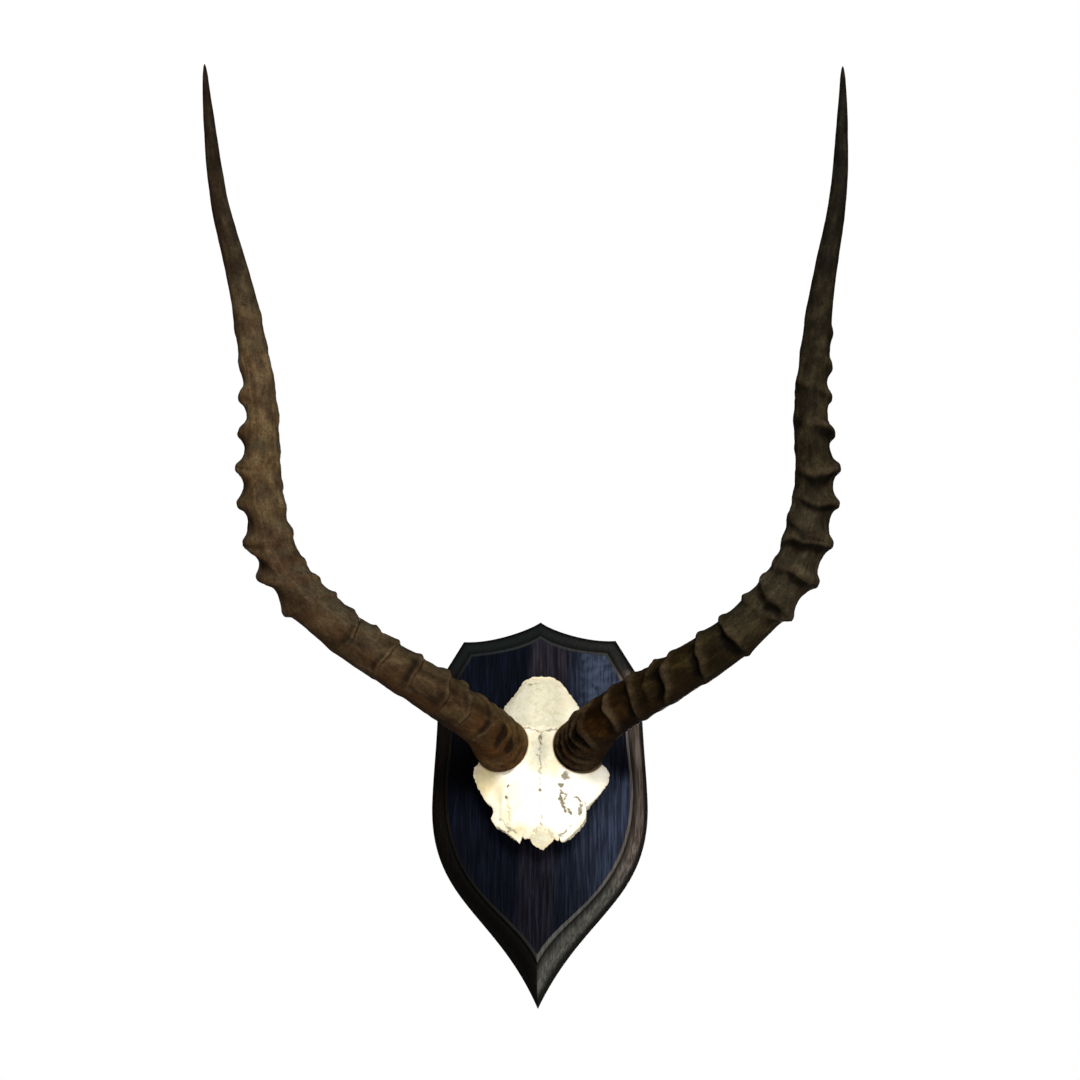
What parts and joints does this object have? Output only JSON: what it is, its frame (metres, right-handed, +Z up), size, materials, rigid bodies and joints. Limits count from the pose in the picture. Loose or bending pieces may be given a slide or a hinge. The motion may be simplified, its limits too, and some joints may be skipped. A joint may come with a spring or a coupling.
{
  "type": "impala horns mounted on a shield plaque",
  "caption": "Pair of long ringed impala horns on a bleached skull plate, screwed to a dark stained oak shield with a moulded edge that hangs flat on a wall.",
  "frame": {"origin": "middle of the shield's flat back, in the plane of the wall", "axes": "+Z up along the shield, +X to the viewer's right, +Y into the wall, so the front faces -Y"},
  "size_m": [0.458, 0.2008, 0.6563],
  "materials": {
    "stained_oak": "blue-black stain under satin wax",
    "bleached_bone": "matt, chalky",
    "brown_horn": "dull, fibrous",
    "dark_horn": "dull, fibrous",
    "zinc_steel": "zinc plated",
    "screw_steel": "zinc plated"
  },
  "bodies": {
    "root": {"shield_plaque": "stained_oak", "skull_plate": "bleached_bone", "horn_left": "brown_horn", "horn_right": "dark_horn", "hanger_plate": "zinc_steel", "hanger_screw_upper": "screw_steel", "hanger_screw_lower": "screw_steel", "skull_screw_left": "screw_steel", "skull_screw_right": "screw_steel"}
  },
  "joints": []
}
